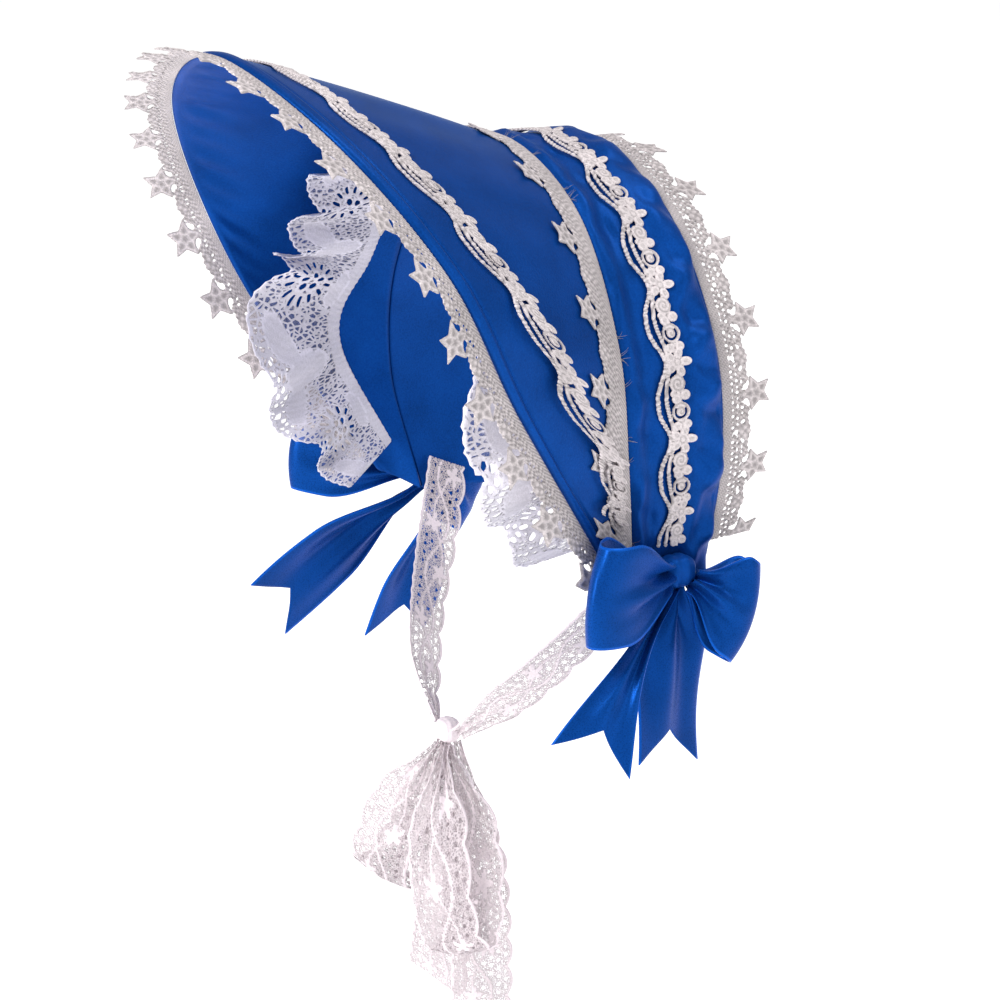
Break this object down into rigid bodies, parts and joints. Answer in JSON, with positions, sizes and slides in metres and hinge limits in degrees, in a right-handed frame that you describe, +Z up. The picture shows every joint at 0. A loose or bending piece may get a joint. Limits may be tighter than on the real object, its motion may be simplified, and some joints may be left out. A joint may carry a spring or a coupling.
{
  "type": "lolita bonnet",
  "caption": "Half bonnet with a flared satin brim, lace edgings, a gathered lace frill inside the brim, satin bows at the ears and a lace tie under the chin.",
  "frame": {"origin": "inner face of the crown band at the top of the head, on the middle plane", "axes": "+Z up along the standing wearer, -Y the way the wearer faces, +X to the wearer's left"},
  "size_m": [0.248, 0.2244, 0.44],
  "materials": {
    "satin": "royal blue satin with a soft sheen",
    "guipure": "matt embroidered lace, off-white with a pinkish tint",
    "frill": "matt knitted lace, white with a lavender tint",
    "tie": "sheer matt lace ribbon, pinkish white"
  },
  "bodies": {
    "root": {"crown_band": "satin", "brim": "satin", "bow_left_knot": "satin", "bow_left_front_loop": "satin", "bow_left_rear_loop": "satin", "bow_left_front_tail": "satin", "bow_left_rear_tail": "satin", "bow_right_knot": "satin", "bow_right_front_loop": "satin", "bow_right_rear_loop": "satin", "bow_right_front_tail": "satin", "bow_right_rear_tail": "satin", "edge_star_lace": "guipure", "seam_star_lace": "guipure", "rear_star_lace": "guipure", "brim_flower_lace": "guipure", "crown_flower_lace": "guipure", "face_frill": "frill", "tie_strap_left": "tie", "tie_strap_right": "tie", "chin_knot": "tie", "chin_loop_left": "tie", "chin_loop_right": "tie", "chin_tail_left": "tie", "chin_tail_right": "tie"}
  },
  "joints": []
}
